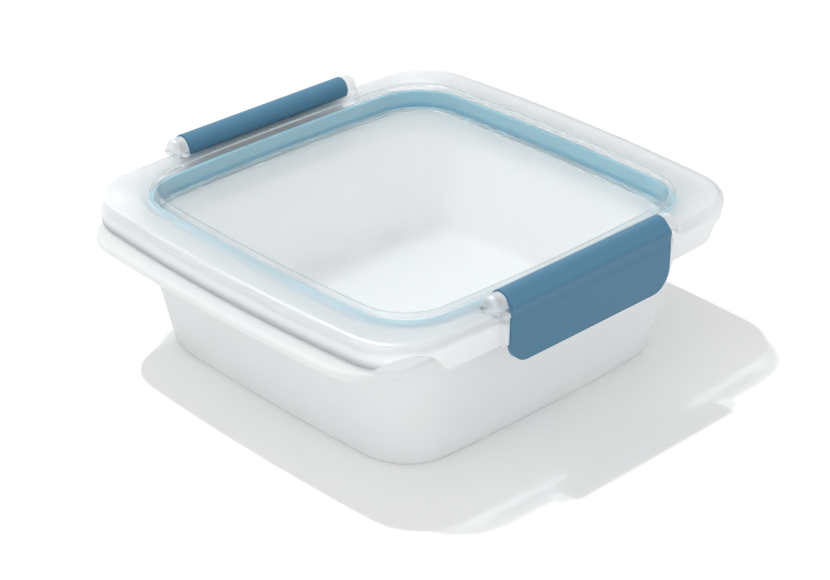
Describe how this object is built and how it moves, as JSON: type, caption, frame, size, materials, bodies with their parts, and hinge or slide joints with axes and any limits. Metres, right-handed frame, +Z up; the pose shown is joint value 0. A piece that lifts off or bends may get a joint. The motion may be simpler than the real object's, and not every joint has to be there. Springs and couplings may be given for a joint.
{
  "type": "sandwich container",
  "caption": "Square lidded food container: draughted tub with a grip flange, recessed lid with gasket, and hinged side latches that hook under the flange.",
  "frame": {"origin": "middle of the base, on the surface it stands on", "axes": "+Z up; the latches are on the -Y and +Y sides; the wide parts of the grip flange are on the -X and +X sides"},
  "size_m": [0.1746, 0.1588, 0.0612],
  "materials": {
    "container_plastic": "frosted translucent polypropylene",
    "lid_plastic": "clear in the bead and the ears, frosted on the plate and the window",
    "gasket": "smooth silicone",
    "latch_plastic": "satin"
  },
  "bodies": {
    "container": {"container": "container_plastic"},
    "lid": {"lid": "lid_plastic", "seal": "gasket"},
    "front_latch": {"front_latch": "latch_plastic"},
    "rear_latch": {"rear_latch": "latch_plastic"}
  },
  "joints": [
    {"name": "lid_lift", "type": "slide", "parent": "container", "child": "lid", "axis": [0, 0, 1], "range_m": [0, 0.072]},
    {"name": "front_latch_hinge", "type": "hinge", "parent": "lid", "child": "front_latch", "pos_m": [0, -0.0741, 0.0574], "axis": [-1, 0, 0], "range_deg": [0, 120]},
    {"name": "rear_latch_hinge", "type": "hinge", "parent": "lid", "child": "rear_latch", "pos_m": [0, 0.0741, 0.0574], "axis": [1, 0, 0], "range_deg": [0, 120]}
  ]
}
